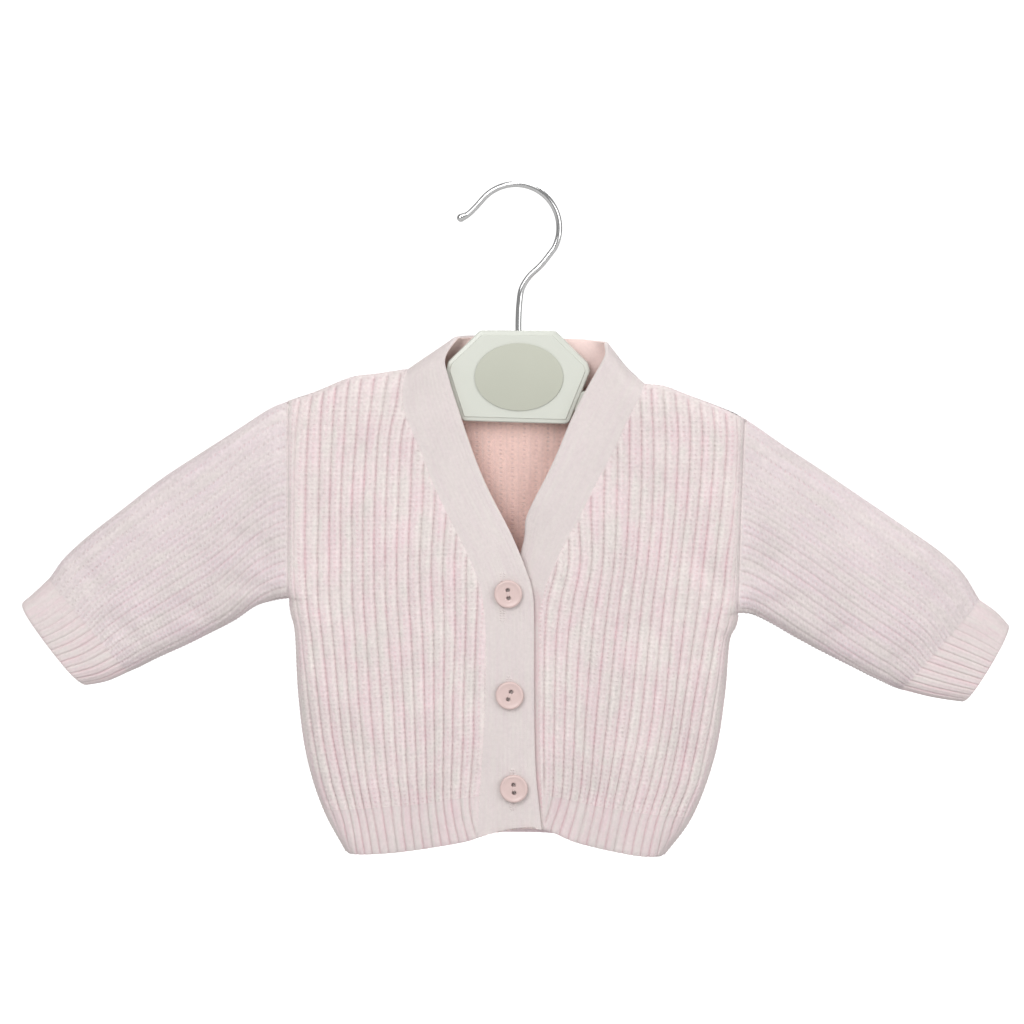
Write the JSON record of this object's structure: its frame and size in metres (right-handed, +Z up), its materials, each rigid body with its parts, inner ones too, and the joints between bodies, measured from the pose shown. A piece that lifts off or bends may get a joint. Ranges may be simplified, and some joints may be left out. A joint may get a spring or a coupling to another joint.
{
  "type": "baby cardigan on a hanger",
  "caption": "Hollow rib-knit baby cardigan with a V neck and long sleeves, buttoned and hanging on a small plastic hanger with a wire hook.",
  "frame": {"origin": "inside of the hook's crown, where a rail or peg holds the hanger", "axes": "+X to the wearer's left and along the spread sleeves, fronts and buttons face -Y, +Z up"},
  "size_m": [0.4942, 0.0263, 0.3368],
  "materials": {
    "rib_knit": "soft matt full-rib knit, pale pink",
    "welt_knit": "matt one by one rib, pale pink",
    "band_knit": "flat fine knit, pale pink",
    "button": "dusty pink, soft gloss",
    "hanger": "warm white moulded plastic, satin",
    "badge": "matt greige sticker, bare",
    "hook": "bright wire"
  },
  "bodies": {
    "root": {"back": "rib_knit", "front_right": "rib_knit", "front_left": "rib_knit", "sleeve_right": "rib_knit", "sleeve_left": "rib_knit", "cuff_right": "welt_knit", "cuff_left": "welt_knit", "welt_back": "welt_knit", "welt_front_right": "welt_knit", "welt_front_left": "welt_knit", "button_band": "band_knit", "button_top": "button", "button_middle": "button", "button_bottom": "button", "hanger": "hanger", "hanger_badge": "badge", "hanger_hook": "hook"}
  },
  "joints": []
}
